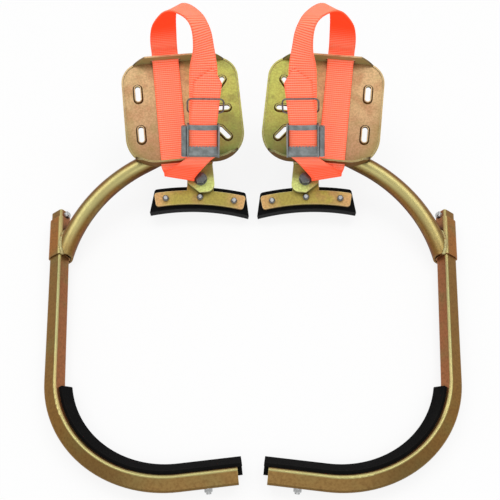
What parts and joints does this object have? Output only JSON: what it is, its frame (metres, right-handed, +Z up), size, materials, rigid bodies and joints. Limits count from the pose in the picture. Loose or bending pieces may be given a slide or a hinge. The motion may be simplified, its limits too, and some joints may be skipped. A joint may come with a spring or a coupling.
{
  "type": "pair of hook climbers for trunks and poles",
  "caption": "Mirrored pair of steel climbing hooks: a padded hook slides in a sleeve, an arm carries a tilted foot plate with a buckled boot strap, and a padded claw swings below it.",
  "frame": {"origin": "on the ground below the middle of the pair's box", "axes": "+X from the left climber to the right one, +Y from the hooks towards the foot plates' far edges, +Z up from the ground that the pair lies on"},
  "size_m": [0.4994, 0.533, 0.2192],
  "materials": {
    "plated_steel": "yellow chromate zinc plating, olive to pink with a soft sheen",
    "zinc_steel": "bright zinc plating",
    "buckle_steel": "blue-grey plated pressing and wire",
    "rubber": "black moulded rubber",
    "webbing": "orange-red ribbed nylon webbing"
  },
  "bodies": {
    "left_frame": {"left_foot_plate": "plated_steel", "left_arm_tube": "plated_steel", "left_hook_sleeve": "plated_steel", "left_claw_bracket": "plated_steel", "left_pivot_bolt": "zinc_steel", "left_pivot_washers": "zinc_steel", "left_pivot_nut": "zinc_steel", "left_strap": "webbing", "left_buckle_frame": "buckle_steel", "left_buckle_pin": "buckle_steel"},
    "left_hook": {"left_hook_tube": "plated_steel", "left_hook_pad": "rubber", "left_pad_stud": "zinc_steel", "left_pad_washer": "zinc_steel", "left_pad_nut": "zinc_steel", "left_stop_bolt": "zinc_steel", "left_stop_nut": "zinc_steel"},
    "left_claw": {"left_claw_plate": "plated_steel", "left_claw_pad": "rubber", "left_claw_bolts": "zinc_steel", "left_claw_nuts": "zinc_steel"},
    "left_jaw": {"left_buckle_jaw": "buckle_steel"},
    "left_keeper": {"left_wire_keeper": "buckle_steel"},
    "right_frame": {"right_foot_plate": "plated_steel", "right_arm_tube": "plated_steel", "right_hook_sleeve": "plated_steel", "right_claw_bracket": "plated_steel", "right_pivot_bolt": "zinc_steel", "right_pivot_washers": "zinc_steel", "right_pivot_nut": "zinc_steel", "right_strap": "webbing", "right_buckle_frame": "buckle_steel", "right_buckle_pin": "buckle_steel"},
    "right_hook": {"right_hook_tube": "plated_steel", "right_hook_pad": "rubber", "right_pad_stud": "zinc_steel", "right_pad_washer": "zinc_steel", "right_pad_nut": "zinc_steel", "right_stop_bolt": "zinc_steel", "right_stop_nut": "zinc_steel"},
    "right_claw": {"right_claw_plate": "plated_steel", "right_claw_pad": "rubber", "right_claw_bolts": "zinc_steel", "right_claw_nuts": "zinc_steel"},
    "right_jaw": {"right_buckle_jaw": "buckle_steel"},
    "right_keeper": {"right_wire_keeper": "buckle_steel"}
  },
  "joints": [
    {"name": "left_hook_slide", "type": "slide", "parent": "left_frame", "child": "left_hook", "axis": [-0.1201, 0.9928, 0], "range_m": [-0.001, 0.15]},
    {"name": "left_claw_pivot", "type": "hinge", "parent": "left_frame", "child": "left_claw", "pos_m": [-0.06449, 0.11203, 0.04767], "axis": [0.0508, -0.4196, 0.9063], "range_deg": [-22, 18]},
    {"name": "left_jaw_pivot", "type": "hinge", "parent": "left_frame", "child": "left_jaw", "pos_m": [-0.05993, 0.11998, 0.08197], "axis": [0.9942, 0.0715, -0.0807], "range_deg": [0, 70]},
    {"name": "left_keeper_slide", "type": "slide", "parent": "left_frame", "child": "left_keeper", "axis": [0.0318, 0.5203, 0.8534], "range_m": [-0.001, 0.014]},
    {"name": "right_hook_slide", "type": "slide", "parent": "right_frame", "child": "right_hook", "axis": [0.1201, 0.9928, 0], "range_m": [-0.001, 0.15]},
    {"name": "right_claw_pivot", "type": "hinge", "parent": "right_frame", "child": "right_claw", "pos_m": [0.06449, 0.11203, 0.04767], "axis": [0.0508, 0.4196, -0.9063], "range_deg": [-22, 18]},
    {"name": "right_jaw_pivot", "type": "hinge", "parent": "right_frame", "child": "right_jaw", "pos_m": [0.05993, 0.11998, 0.08197], "axis": [0.9942, -0.0715, 0.0807], "range_deg": [0, 70]},
    {"name": "right_keeper_slide", "type": "slide", "parent": "right_frame", "child": "right_keeper", "axis": [-0.0318, 0.5203, 0.8534], "range_m": [-0.001, 0.014]},
    {"name": "right_climber_lift", "type": "slide", "parent": "left_frame", "child": "right_frame", "axis": [0, 0, 1], "range_m": [0, 0.3]}
  ]
}
